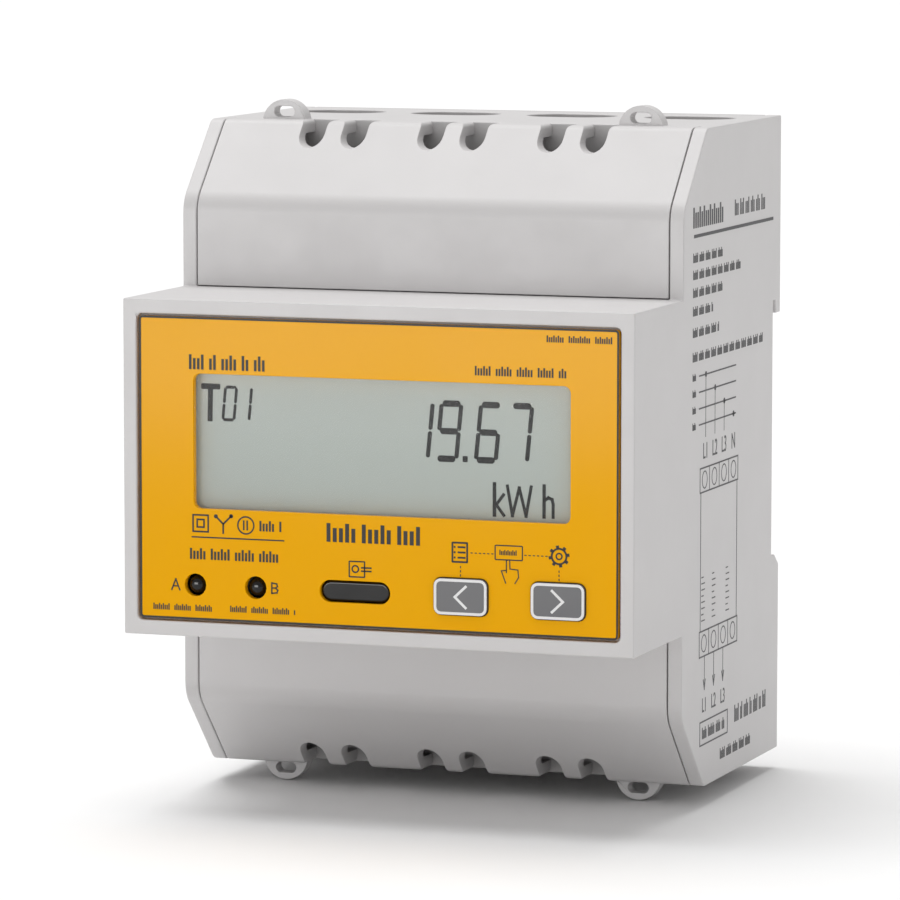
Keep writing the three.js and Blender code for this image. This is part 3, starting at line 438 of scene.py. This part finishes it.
# %% Parts behind and in the fascia
for side in ("previous", "next"):
    refine("key_" + side, side + "_key_cap", key_plastic, 0.06)
    refine("key_switch_" + side, side + "_key_switch_body", epoxy, 0.15)
refine("optical_port_window", "optical_port_lens", dark_lens, 0.35, 4)
for lamp in ("a", "b"):
    refine("pulse_led_" + lamp, "pulse_lamp_" + lamp, dark_lens, 0.1)
refine("ir_transceiver", "infrared_pair", dark_lens, 0.2)
refine("lcd_frame", "display_frame", frame_plastic, 0.15)
refine("lcd_backlight", "display_light_block", frame_plastic, 0.3)
# The display's glass and its window are plain sheets, so they keep their shape and only take a finish.
for node, finish in (("lcd_glass", display_glass), ("display_window", window_clear)):
    nodes[node].data.materials.clear()
    nodes[node].data.materials.append(finish)
print("fascia parts refined")

# %% Boards and the parts on them
for board in ("display_board", "main_board"):
    refine(board, board + "_laminate", board_green, 0.06)
refine("board_header", "board_plug", epoxy, 0.15)
refine("meter_chip", "meter_chip_package", epoxy, 0.1)
refine("supply_transformer", "supply_transformer_core", epoxy, 0.25)
refine("supply_capacitor", "supply_capacitor_can", blue_sleeve, 0.2)
refine("backup_battery", "backup_battery_cell", grey_sleeve, 0.3)
print("boards refined")

# %% [markdown]
# ## Mains path and small terminals
# Behind each cover four cages lift towards their screws to clamp a cable, on copper bars that run
# through three measuring coils. The plating and the copper are worked metal, so their edges are crisp.

# %% Mains path and small terminals
PHASES = ("l1", "l2", "l3", "n")
for phase in PHASES:
    refine("busbar_" + phase, "bar_" + phase, copper, 0.12)
    for row in ("top", "bottom"):
        label = row + "_" + phase
        refine("terminal_cage_" + label, "cage_" + label, zinc, 0.18)
        refine("terminal_screw_" + label, "screw_" + label, zinc, 0.12)
for phase in PHASES[:3]:
    refine("current_transformer_" + phase, "measuring_coil_" + phase, coil_plastic, 0.25)
for use in ("bus", "pulse", "tariff"):
    refine("aux_block_" + use, use + "_terminal_block", block_plastic, 0.15)
    for pole in ("1", "2"):
        refine("aux_screw_" + use + "_" + pole, use + "_terminal_screw_" + pole, zinc, 0.08)
print("terminals refined")

# %% [markdown]
# ## Clip spring
# The spring is a coil of drawn wire that pushes the clip up against the rail. A small ring, the wire's
# section, is swept round the coil's axis by a Screw modifier, which turns and climbs at once. When the
# clip is pulled down the coil shortens towards its lower end; this coil is built at rest, with the
# meter's body.

# %% Clip spring
low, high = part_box("clip_spring")
spring_axis = (low + high) / 2
WIRE_RADIUS = 0.3 * MM
COIL_RADIUS = (high.x - low.x) / 2 - WIRE_RADIUS
TURNS = 6
deselect()
bpy.ops.mesh.primitive_circle_add(vertices=12, radius=WIRE_RADIUS, location=(COIL_RADIUS, 0, 0),
                                  rotation=(math.radians(90), 0, 0))
spring = bpy.context.object
spring.name = "clip_coil_spring"
bpy.ops.object.transform_apply(location=True, rotation=True, scale=True)
sweep = spring.modifiers.new("coil", "SCREW")
sweep.angle = 2 * math.pi * TURNS
sweep.screw_offset = high.z - low.z - 2 * WIRE_RADIUS
sweep.steps = sweep.render_steps = 28 * TURNS
apply_modifiers(spring)
bpy.ops.object.mode_set(mode="EDIT")
bpy.ops.mesh.select_all(action="SELECT")
bpy.ops.mesh.remove_doubles(threshold=0.001 * MM)
bpy.ops.mesh.select_all(action="DESELECT")
bpy.ops.mesh.select_non_manifold()
bpy.ops.mesh.edge_face_add()
bpy.ops.mesh.select_all(action="SELECT")
bpy.ops.mesh.normals_make_consistent(inside=False)
bpy.ops.object.mode_set(mode="OBJECT")
spring.location = (spring_axis.x, spring_axis.y, low.z + WIRE_RADIUS)
bpy.ops.object.transform_apply(location=True, rotation=True, scale=True)
bpy.ops.object.shade_smooth_by_angle(angle=math.radians(50))
spring.data.materials.append(spring_wire)
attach(spring, "meter")
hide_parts("clip_spring")
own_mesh(spring)
print("spring", round((high.z - low.z) / MM, 1), "mm long,", len(spring.data.polygons), "faces")

# %% [markdown]
# ## Drawing flat marks
# Every printed mark is drawn flat on the XY plane in millimetres, as on paper: a bar is a plane that is
# stretched, turned and cut at its corners, and an outline is a plane whose face is inset and removed.
# The whole drawing is then raised by the thickness of the ink, stood up and moved to its face. The ink
# is drawn 0.03 mm thick, a little more than it is, so that it stays clear of the surface under it.

# %% Drawing helpers
INK = 0.03 * MM
LEVEL_STEP_MM = 0.004


def start_drawing(name):
    deselect()
    bpy.ops.object.add(type="MESH", location=(0, 0, 0))
    drawing = bpy.context.object
    drawing.name = name
    bpy.ops.object.mode_set(mode="EDIT")
    return drawing


def turn_matrix(along):
    unit = along.normalized()
    return ((unit.x, unit.y, 0), (-unit.y, unit.x, 0), (0, 0, 1))


def bar(start, end, width, cut=0.0, level=0.0):
    a, b = Vector(start), Vector(end)
    middle, along = (a + b) / 2 * MM, b - a
    bpy.ops.mesh.select_all(action="DESELECT")
    place = (middle.x, middle.y, level * MM)
    bpy.ops.mesh.primitive_plane_add(size=1, location=place,
                                     rotation=(0, 0, math.atan2(along.y, along.x)))
    bpy.ops.transform.resize(value=(along.length * MM, width * MM, 1), orient_type="LOCAL",
                             orient_matrix=turn_matrix(along), orient_matrix_type="LOCAL",
                             center_override=place)
    if cut:
        bpy.ops.mesh.bevel(offset=cut * MM, affect="VERTICES", segments=1)


def path(points, width):
    for count, (a, b) in enumerate(zip(points, points[1:])):
        reach = (Vector(b) - Vector(a)).normalized() * width / 2
        # Bars that share a corner lie at slightly different levels, so their faces never coincide.
        bar(Vector(a) - reach, Vector(b) + reach, width, level=-LEVEL_STEP_MM * (count % 3))


def block(left, bottom, right, top, corner=0.0):
    middle = ((left + right) / 2 * MM, (bottom + top) / 2 * MM, 0)
    bpy.ops.mesh.select_all(action="DESELECT")
    bpy.ops.mesh.primitive_plane_add(size=1, location=middle)
    bpy.ops.transform.resize(value=((right - left) * MM, (top - bottom) * MM, 1), center_override=middle)
    if corner:
        bpy.ops.mesh.bevel(offset=corner * MM, affect="VERTICES", segments=4)


def hollow(width):
    bpy.ops.mesh.inset(thickness=width * MM, use_even_offset=True)
    bpy.ops.mesh.delete(type="FACE")


def disc(x, y, radius, sides=24):
    bpy.ops.mesh.select_all(action="DESELECT")
    bpy.ops.mesh.primitive_circle_add(vertices=sides, radius=radius * MM, fill_type="NGON",
                                      location=(x * MM, y * MM, 0))


def finish_drawing(drawing, ink, body, turn, place):
    bpy.ops.mesh.select_all(action="SELECT")
    bpy.ops.mesh.extrude_region_move(TRANSFORM_OT_translate={"value": (0, 0, INK)})
    bpy.ops.mesh.select_all(action="SELECT")
    bpy.ops.mesh.normals_make_consistent(inside=False)
    bpy.ops.object.mode_set(mode="OBJECT")
    drawing.rotation_euler = turn
    drawing.location = place
    bpy.ops.object.transform_apply(location=True, rotation=True, scale=True)
    drawing.data.materials.append(ink)
    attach(drawing, body)
    print(drawing.name, len(drawing.data.polygons), "faces")


TO_FRONT = (math.radians(90), 0, 0)
TO_RIGHT = (math.radians(90), 0, math.radians(90))
FASCIA_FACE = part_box("front_panel")[0].y
DISPLAY_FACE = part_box("lcd_glass")[0].y
print("fascia face at", round(FASCIA_FACE / MM, 2), "mm")
print("display face at", round(DISPLAY_FACE / MM, 2), "mm")

# %% [markdown]
# ## Display digits
# A liquid-crystal digit has seven segments, each a leaning bar with cut ends, and a gap between one
# segment and the next. The lying segments are thicker than the standing ones. The letters of the digit
# plan name the segments clockwise from the top, with g across the middle.

# %% Seven-segment digits
LIT = {"0": "abcdef", "1": "bc", "6": "acdefg", "7": "abc", "9": "abcdfg"}
GAP_SHARE = 0.16
CUT_SHARE = 0.3


def digit(sign, left, bottom, width, height, lean, lying, standing):
    def at(across, up):
        return Vector((left + across * width + lean * up, bottom + up * height))
    corners = {"a": ((0, 1), (1, 1)), "b": ((1, 1), (1, 0.5)), "c": ((1, 0.5), (1, 0)),
               "d": ((0, 0), (1, 0)), "e": ((0, 0.5), (0, 0)), "f": ((0, 1), (0, 0.5)),
               "g": ((0, 0.5), (1, 0.5))}
    for segment in LIT[sign]:
        a, b = (at(*corner) for corner in corners[segment])
        thick = lying if segment in "adg" else standing
        gap = (b - a).normalized() * thick * GAP_SHARE
        bar(a + gap, b - gap, thick, cut=thick * CUT_SHARE)


# %% Figures on the display
figures = start_drawing("display_figures")
BIG = {"bottom": 1.1, "width": 2.75, "height": 7.35, "lean": 0.72, "lying": 0.85, "standing": 0.58}
for sign, left in (("1", 4.0), ("9", 8.0), ("6", 13.5), ("7", 17.85)):
    digit(sign, left, **BIG)
block(11.65, 0.75, 12.35, 1.55, 0.08)
SMALL = {"bottom": 5.2, "width": 1.6, "height": 4.4, "lean": 0.4, "lying": 0.42, "standing": 0.4}
digit("0", -22.35, **SMALL)
digit("1", -20.2, **SMALL)
# The T in front of the small figures is two bars.
bar((-25.45, 9.62), (-22.7, 9.62), 0.78, cut=0.12)
bar((-24.1, 9.4), (-24.2, 4.9), 0.72, cut=0.06)
finish_drawing(figures, crystal_black, "meter", TO_FRONT, (0, DISPLAY_FACE, 0))

# %% [markdown]
# The unit of energy under the figures is drawn with straight strokes, as the display's own characters
# are: a k, a W and an h.

# %% Unit on the display
unit = start_drawing("display_unit")
path([(16.1, -2.0), (16.1, -6.1)], 0.5)
path([(17.35, -3.4), (16.35, -4.75), (17.4, -6.1)], 0.42)
path([(17.9, -2.2), (18.6, -6.1), (19.55, -2.4), (20.5, -6.1), (21.2, -2.2)], 0.42)
path([(23.0, -2.0), (23.0, -6.1)], 0.46)
path([(23.1, -3.9), (23.6, -3.55), (24.1, -3.75), (24.25, -4.4), (24.25, -6.1)], 0.42)
finish_drawing(unit, crystal_black, "meter", TO_FRONT, (0, DISPLAY_FACE, 0))

# %% [markdown]
# ## Fascia printing
# The fascia carries plain symbols: double insulation, the network, a meter ring, a page and a gear for
# the two keys, a touch sign between them, and the letters A and B at the lamps. Names and numbers that
# would say who made the meter are left out, and rows of plain bars keep their place, like the dummy
# lines a designer puts where text will go. A thin black line round the film's edge is painted shade: it
# stands in for the shadow in the gap round the film.

# %% Dummy text
TICK_STEP = 1.6


def dummy_line(left, right, middle, height, word_mm=(2.4, 1.5, 3.1), gap_mm=0.6, stroke=0.22):
    """Rows of upright ticks in words, with tall and short ticks taking turns."""
    x, count = left, 0
    while x < right - stroke:
        word_end = min(x + word_mm[count % len(word_mm)], right)
        while x < word_end - stroke:
            top = height / 2 if count % 5 in (0, 3) else height / 4
            bar((x, middle - height / 2), (x, middle + top), stroke)
            x += TICK_STEP * stroke
            count += 1
        x += gap_mm


# %% Symbols on the fascia
symbols_and_edge_shade = start_drawing("fascia_symbols_and_painted_edge_shade")
block(-26.2, -9.95, -23.8, -7.5)
hollow(0.22)
block(-25.6, -9.35, -24.4, -8.1)
hollow(0.22)
path([(-21.75, -9.9), (-21.75, -8.7), (-22.8, -7.7)], 0.24)
path([(-21.75, -8.7), (-20.6, -7.6)], 0.24)
for end in ((-22.8, -7.7), (-20.6, -7.6)):
    disc(*end, 0.28, 12)
disc(-18.5, -8.75, 1.25, 32)
hollow(0.2)
path([(-18.8, -8.2), (-18.8, -9.3)], 0.22)
path([(-18.3, -8.2), (-18.3, -9.3)], 0.22)
bar((-26.3, -10.6), (-13.0, -10.6), 0.18)
# Painted shade: a black ink outline round the film's edge stands in for the shadow in the gap round the
# film.
low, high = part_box("front_panel")
block(low.x / MM, low.z / MM, high.x / MM, high.z / MM, 0.5)
hollow(0.26)
finish_drawing(symbols_and_edge_shade, black_ink_and_edge_shade, "meter", TO_FRONT, (0, FASCIA_FACE, 0))

# %% Key guide on the fascia
guide = start_drawing("key_guide")
block(10.65, -12.5, 12.95, -9.7, 0.15)
hollow(0.24)
for row in range(3):
    bar((11.5, -10.4 - row * 0.7), (12.6, -10.4 - row * 0.7), 0.24)
    bar((10.95, -10.4 - row * 0.7), (11.2, -10.4 - row * 0.7), 0.24)
block(16.65, -11.9, 20.6, -9.85, 0.2)
hollow(0.16)
dummy_line(17.4, 19.8, -10.85, 0.7, stroke=0.14)
path([(18.3, -13.5), (18.3, -11.9), (18.75, -11.8), (18.8, -13.0), (19.9, -13.1), (20.0, -14.1),
      (19.5, -14.9)], 0.15)
path([(18.3, -13.2), (17.6, -13.3), (18.2, -14.9)], 0.15)
GEAR, TEETH = (25.6, -11.05), 8
disc(*GEAR, 1.15, 32)
hollow(0.26)
disc(*GEAR, 0.5, 20)
hollow(0.2)
for tooth in range(TEETH):
    angle = math.radians(360 / TEETH * tooth + 10)
    reach = Vector((math.cos(angle), math.sin(angle)))
    bar(Vector(GEAR) + reach * 1.1, Vector(GEAR) + reach * 1.45, 0.42)
LYING_DASH, STANDING_DASH = 0.58, 0.55
for dash in range(6):
    for left, right in ((13.3, 13.6), (20.8, 21.1)):
        bar((left + dash * LYING_DASH, -11.1), (right + dash * LYING_DASH, -11.1), 0.13)
for dash in range(3):
    for across in (11.9, 25.6):
        bar((across, -12.9 - dash * STANDING_DASH), (across, -13.2 - dash * STANDING_DASH), 0.13)
finish_drawing(guide, black_ink_and_edge_shade, "meter", TO_FRONT, (0, FASCIA_FACE, 0))

# %% Lamp letters and port sign
signs = start_drawing("lamp_letters_and_port_sign")
path([(-29.2, -17.85), (-28.62, -16.4), (-28.05, -17.85)], 0.2)
bar((-28.95, -17.35), (-28.3, -17.35), 0.18)
path([(-14.8, -17.75), (-14.8, -16.35), (-14.1, -16.45), (-14.0, -16.8), (-14.25, -17.02),
      (-13.95, -17.3), (-14.05, -17.65), (-14.8, -17.75)], 0.2)
bar((-14.8, -17.02), (-14.25, -17.02), 0.18)
block(-3.85, -15.1, -1.5, -12.85, 0.15)
hollow(0.18)
disc(-2.9, -13.95, 0.55, 20)
hollow(0.2)
path([(-0.7, -13.75), (-2.0, -13.75)], 0.2)
path([(-0.7, -14.2), (-2.0, -14.2)], 0.2)
finish_drawing(signs, black_ink_and_edge_shade, "meter", TO_FRONT, (0, FASCIA_FACE, 0))

# %% Dummy lines on the fascia
dummy = start_drawing("fascia_dummy_lines")
dummy_line(-31.8, -23.0, -20.2, 0.85, stroke=0.17)
dummy_line(-20.7, -11.2, -20.1, 0.85, stroke=0.17)
dummy_line(-26.4, -13.0, -12.85, 1.5, stroke=0.3)
dummy_line(-16.4, -13.1, -8.75, 1.4, stroke=0.28)
dummy_line(14.0, 26.7, 13.1, 1.25, stroke=0.24)
dummy_line(23.9, 32.9, 17.6, 0.9, stroke=0.19)
dummy_line(-26.4, -15.0, 13.0, 2.0, stroke=0.36)
dummy_line(-6.7, 6.7, -9.2, 2.5, word_mm=(4.4, 4.0, 4.4), stroke=0.55)
finish_drawing(dummy, black_ink_and_edge_shade, "meter", TO_FRONT, (0, FASCIA_FACE, 0))

# %% [markdown]
# ## Key marks
# Each key has a pale border along its edge and a pale arrowhead that points back or forward. They are
# drawn on the key's own face and ride with it, so they go in when the key is pressed.

# %% Key marks
KEY_HALF_WIDTH, KEY_HALF_HEIGHT = 3.69, 2.39
for side, point in (("previous", -1), ("next", 1)):
    low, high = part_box("key_" + side)
    x = (low.x + high.x) / 2 / MM
    z = (low.z + high.z) / 2 / MM
    marks = start_drawing(side + "_key_marks")
    block(x - KEY_HALF_WIDTH, z - KEY_HALF_HEIGHT, x + KEY_HALF_WIDTH, z + KEY_HALF_HEIGHT, 0.95)
    hollow(0.36)
    path([(x - point * 0.75, z + 1.4), (x + point * 0.75, z), (x - point * 0.75, z - 1.4)], 0.34)
    finish_drawing(marks, white_ink, side + "_key", TO_FRONT, (0, low.y, 0))

# %% [markdown]
# ## Wiring diagram on the side
# The right-hand side has a pad-printed wiring diagram: four supply lines with dots and drops, two rows
# of terminals with the case drawn between them, three arrows out of the lower row, and rows of small
# print. It is drawn in the same way, with y to the right and z up, and stood up on the side wall.

# %% Wiring diagram lines
SIDE_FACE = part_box("housing")[1].x
diagram = start_drawing("side_wiring_diagram")
bar((-38.7, 29.5), (-0.3, 29.5), 0.45)
DROPS = (-32.8, -28.4, -24.0, -19.5)
LINES = (10.45, 8.25, 6.0, 3.8)
TERMINALS_LEFT, TERMINAL_STEP = -35.4, 4.575
for drop, level in zip(DROPS, LINES):
    bar((-36.0, level), (-18.4, level), 0.2)
    disc(drop, level, 0.42, 14)
for drop, level in zip(DROPS[:3], LINES):
    bar((drop, level), (drop, 1.9), 0.12)
for top, bottom in ((-2.15, -5.65), (-24.5, -28.2)):
    block(TERMINALS_LEFT, bottom, -17.1, top)
    hollow(0.2)
    for step in range(1, 4):
        x = TERMINALS_LEFT + step * TERMINAL_STEP
        bar((x, bottom), (x, top), 0.16)
    for step in range(4):
        disc(-33.1 + step * TERMINAL_STEP, (top + bottom) / 2, 1.25, 20)
        hollow(0.16)
for x in (-34.9, -17.6):
    bar((x, -5.65), (x, -24.5), 0.18)
for x in DROPS[:3]:
    bar((x, -28.2), (x, -32.6), 0.14)
    path([(x - 0.5, -31.4), (x, -32.7), (x + 0.5, -31.4)], 0.2)
block(-34.9, -40.4, -21.5, -37.0)
hollow(0.2)
finish_drawing(diagram, grey_ink, "meter", TO_RIGHT, (SIDE_FACE, 0, 0))

# %% Small print on the side
small_print = start_drawing("side_small_print")
dummy_line(-38.8, -24.4, 32.0, 2.8, word_mm=(14.4,), stroke=0.6)
dummy_line(-19.2, -4.0, 32.2, 2.2, stroke=0.42)
for right, middle in ((-24.7, 26.6), (-15.8, 24.3), (-24.6, 21.9), (-29.5, 19.4), (-26.3, 16.5),
                      (-4.8, 13.2)):
    dummy_line(-38.9, right, middle, 1.3, stroke=0.24)
# Three columns of short rows stand inside the case drawing, and every third row is shorter.
for x in (-33.6, -28.6, -22.0):
    for row in range(8):
        middle = -17.2 - row * 0.85
        bar((x - 0.8, middle), (x + (0.8 if row % 3 else 0.2), middle), 0.16)
dummy_line(-33.6, -22.6, -38.7, 1.6, stroke=0.28)
dummy_line(-18.0, -2.0, -38.2, 2.4, stroke=0.36)
dummy_line(-25.0, -9.5, -42.8, 1.5, stroke=0.26)
for level in LINES:
    dummy_line(-38.9, -37.2, level, 1.0, stroke=0.2)
finish_drawing(small_print, grey_ink, "meter", TO_RIGHT, (SIDE_FACE, 0, 0))

# %% [markdown]
# The phases are marked L1, L2, L3 and N, as on any three-phase terminal. They are set with Blender's own
# font as a flat curve, which is turned into a mesh before it is placed. A capital of that font is 0.7 of
# the font's size, and the letters are squeezed to the narrow shape that meters use.

# %% Phase labels on the side
CAPITAL_SHARE = 0.7
LABEL_SQUEEZE = 0.8


def phase_labels(name, words, height, level):
    drawings = []
    for word, y in zip(words, DROPS):
        deselect()
        bpy.ops.object.text_add(location=(0, 0, 0))
        label = bpy.context.object
        label.data.body = word
        label.data.align_x = "CENTER"
        label.data.size = height * MM / CAPITAL_SHARE
        bpy.ops.object.convert(target="MESH")
        label = bpy.context.object
        label.scale = (LABEL_SQUEEZE, 1, 1)
        label.location = (y * MM, level * MM, 0)
        bpy.ops.object.transform_apply(location=True, rotation=True, scale=True)
        drawings.append(label)
    deselect()
    for drawing in drawings:
        drawing.select_set(True)
    bpy.context.view_layer.objects.active = drawings[0]
    bpy.ops.object.join()
    labels = bpy.context.object
    labels.name = name
    bpy.ops.object.mode_set(mode="EDIT")
    finish_drawing(labels, grey_ink, "meter", TO_RIGHT, (SIDE_FACE, 0, 0))


phase_labels("supply_phase_labels", ("L1", "L2", "L3", "N"), 2.2, -1.0)
phase_labels("load_phase_labels", ("L1", "L2", "L3"), 2.0, -35.8)

# %% [markdown]
# ## Floor and light
# The meter stands on a plain white floor. A pale sky lights it from all round, and a sun overhead, made
# very wide so that its shadows are soft, makes the upper slopes the brightest faces. A strip in front is
# there for the gloss only: it puts a soft step of reflection across the fascia, and is hidden from the
# camera and from the matt part of every finish.

# %% Floor
floor_finish, tree = new_material("white_paper_floor")
place = add_node(tree, "ShaderNodeTexCoord").outputs["Object"]
fibre = add_node(tree, "ShaderNodeTexNoise", {"Scale": per_metre(20), "Detail": 3.0}, {"Vector": place})
tone = add_node(tree, "ShaderNodeMix", {"data_type": "RGBA"}, {0: fibre.outputs["Fac"]})
tone.inputs[6].default_value = linear("#f2f2f2")
tone.inputs[7].default_value = linear("#f5f5f5")
paper = add_node(tree, "ShaderNodeBsdfPrincipled", {"Roughness": 0.9, "Specular IOR Level": 0.1},
                 {"Base Color": tone.outputs[2]})
add_node(tree, "ShaderNodeOutputMaterial", None, {"Surface": paper.outputs[0]})
deselect()
bpy.ops.mesh.primitive_plane_add(size=40, location=(0, 0, cad_box[0][2] - 0.1 * MM))
floor = bpy.context.object
floor.name = "floor"
floor.data.materials.append(floor_finish)
print("floor at", round(floor.location.z / MM, 2), "mm")

# %% Lights
SKY_STRENGTH = 0.52
SUN_STRENGTH, SUN_WIDTH_DEGREES = 2.1, 50
STRIP_WATTS = 1.1
world = bpy.data.worlds.new("pale_sky")
world.use_nodes = True
sky = world.node_tree.nodes["Background"]
sky.inputs["Color"].default_value = (1.0, 0.995, 0.99, 1.0)
sky.inputs["Strength"].default_value = SKY_STRENGTH
bpy.context.scene.world = world

overhead = bpy.data.lights.new("overhead_light", "SUN")
overhead.energy = SUN_STRENGTH
overhead.angle = math.radians(SUN_WIDTH_DEGREES)
overhead_light = bpy.data.objects.new("overhead_light", overhead)
overhead_light.rotation_euler = (math.radians(-4), math.radians(-12), 0)
bpy.context.scene.collection.objects.link(overhead_light)

strip = bpy.data.lights.new("gloss_strip", "AREA")
strip.shape = "RECTANGLE"
strip.size = 0.30
strip.size_y = 0.13
strip.energy = STRIP_WATTS
gloss_strip = bpy.data.objects.new("gloss_strip", strip)
gloss_strip.location = (-0.155, -0.4, 0.03)
gloss_strip.rotation_euler = (math.radians(90), 0, 0)
gloss_strip.visible_camera = False
gloss_strip.visible_diffuse = False
bpy.context.scene.collection.objects.link(gloss_strip)
bpy.context.scene.view_settings.view_transform = "Standard"
print("lights set")

# %% [markdown]
# ## Frame box
# The frame's own box is printed, in millimetres.

print("frame box", [[round(v / MM, 2) for v in corner] for corner in cad_box])
